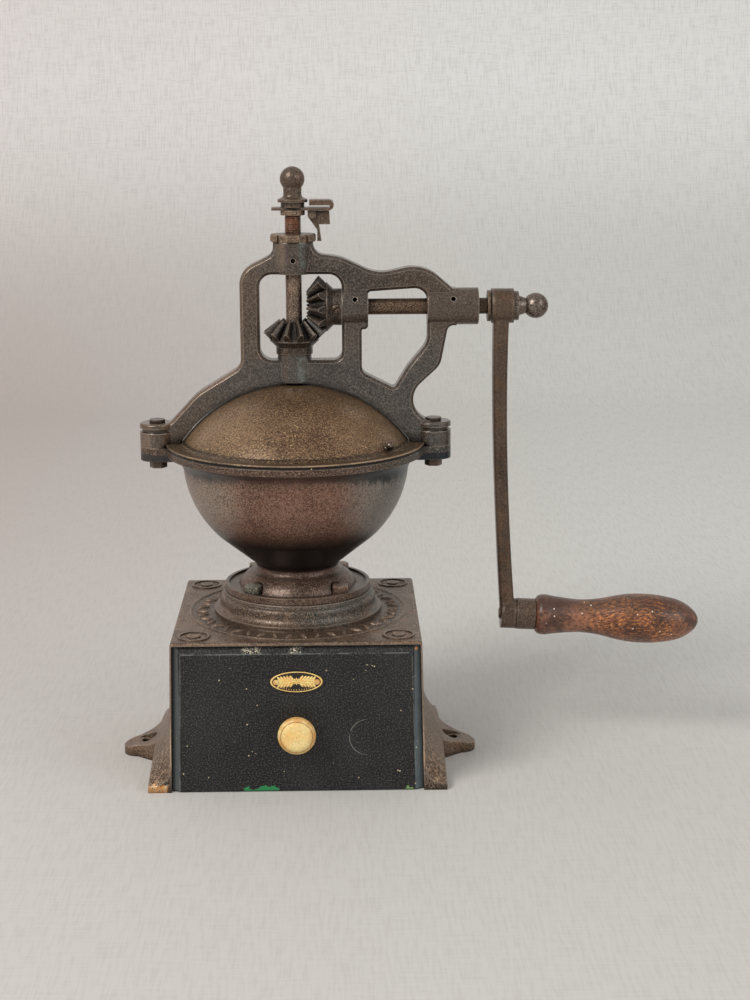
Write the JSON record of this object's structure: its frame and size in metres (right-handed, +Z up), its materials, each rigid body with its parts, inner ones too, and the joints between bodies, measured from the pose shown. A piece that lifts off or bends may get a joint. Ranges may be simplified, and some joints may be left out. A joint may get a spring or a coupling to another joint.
{
  "type": "hand crank coffee grinder",
  "caption": "Cast-iron counter coffee grinder: side crank and mitre gears turn a burr cone under a domed hopper; ground coffee falls into the drawer of a flared base.",
  "frame": {"origin": "on the floor plane under the feet, midway between the two screw holes", "axes": "+X towards the crank, +Y to the back, +Z up; the drawer opens along -Y"},
  "size_m": [0.3735, 0.1715, 0.3773],
  "materials": {
    "base_iron": "worn dark paint over cast iron",
    "bowl_iron": "reddish brown worn paint",
    "bowl_bolt_iron": "dull, aged",
    "burr_iron": "hardened, dull",
    "frame_iron": "dark warm grey cast",
    "ear_bolt_iron": "dull, aged",
    "lid_sheet": "brown patina",
    "lid_knob_brass": "worn",
    "shaft_steel": "dull, oily",
    "gear_iron": "dark, greasy",
    "arm_iron": "forged, worn",
    "grip_wood": "reddish brown, worn varnish",
    "nut_steel": "dull, aged",
    "spindle_steel": "rusty thread, worn shaft",
    "drawer_black": "black paint with worn edges",
    "drawer_wood": "raw wood",
    "knob_brass": "polished by use"
  },
  "bodies": {
    "base": {"base_housing": "base_iron", "hopper_bowl": "bowl_iron", "bowl_bolts": "bowl_bolt_iron", "outer_burr": "burr_iron", "bridge_frame": "frame_iron", "ear_bolts": "ear_bolt_iron", "ear_nuts": "ear_bolt_iron", "lid_rear": "lid_sheet"},
    "crank": {"crank_shaft": "shaft_steel", "drive_gear": "gear_iron", "gear_screw": "shaft_steel", "crank_washer": "shaft_steel", "crank_arm": "arm_iron", "ball_nut": "arm_iron", "grip_spindle": "shaft_steel", "grip_ferrule": "arm_iron"},
    "grip": {"wood_grip": "grip_wood"},
    "spindle": {"driven_gear": "gear_iron", "gear_key": "shaft_steel"},
    "nut": {"adjusting_nut": "nut_steel"},
    "shaft": {"vertical_shaft": "spindle_steel", "inner_burr": "burr_iron", "burr_nut": "shaft_steel", "clamp_collar": "nut_steel", "pawl_strip": "nut_steel", "pawl_pin": "shaft_steel", "finial_knob": "nut_steel"},
    "pawl": {"pawl": "nut_steel"},
    "lid": {"lid_front": "lid_sheet", "lid_knob": "lid_knob_brass"},
    "drawer": {"drawer_front": "drawer_black", "drawer_left": "drawer_wood", "drawer_right": "drawer_wood", "drawer_back": "drawer_wood", "drawer_bottom": "drawer_wood", "drawer_knob": "knob_brass", "knob_screw": "shaft_steel", "oval_plate": "knob_brass", "plate_pins": "knob_brass"}
  },
  "joints": [
    {"name": "crank_turn", "type": "hinge", "parent": "base", "child": "crank", "pos_m": [0.07, 0, 0.291], "axis": [1, 0, 0], "continuous": true},
    {"name": "grip_spin", "type": "hinge", "parent": "crank", "child": "grip", "pos_m": [0.1357, 0, 0.0917], "axis": [0.9987, 0, -0.0506], "continuous": true},
    {"name": "spindle_turn", "type": "hinge", "parent": "base", "child": "spindle", "pos_m": [0, 0, 0.291], "axis": [0, 0, 1], "continuous": true},
    {"name": "nut_set", "type": "hinge", "parent": "spindle", "child": "nut", "pos_m": [0, 0, 0.334], "axis": [0, 0, 1], "range_deg": [-360, 0]},
    {"name": "grind_lift", "type": "slide", "parent": "spindle", "child": "shaft", "axis": [0, 0, 1], "range_m": [0, 0.002]},
    {"name": "pawl_swing", "type": "hinge", "parent": "shaft", "child": "pawl", "pos_m": [0.0118, 0, 0.3482], "axis": [0, 1, 0], "range_deg": [0, 7]},
    {"name": "lid_turn", "type": "hinge", "parent": "base", "child": "lid", "pos_m": [0, 0, 0.2], "axis": [0, 0, 1], "range_deg": [-115, 0]},
    {"name": "drawer_slide", "type": "slide", "parent": "base", "child": "drawer", "axis": [0, -1, 0], "range_m": [0, 0.12]}
  ],
  "couplings": [
    {"joint": "spindle_turn", "follows": "crank_turn", "ratio": 1},
    {"joint": "nut_set", "follows": "grind_lift", "rad_per_m": -3141.6}
  ]
}
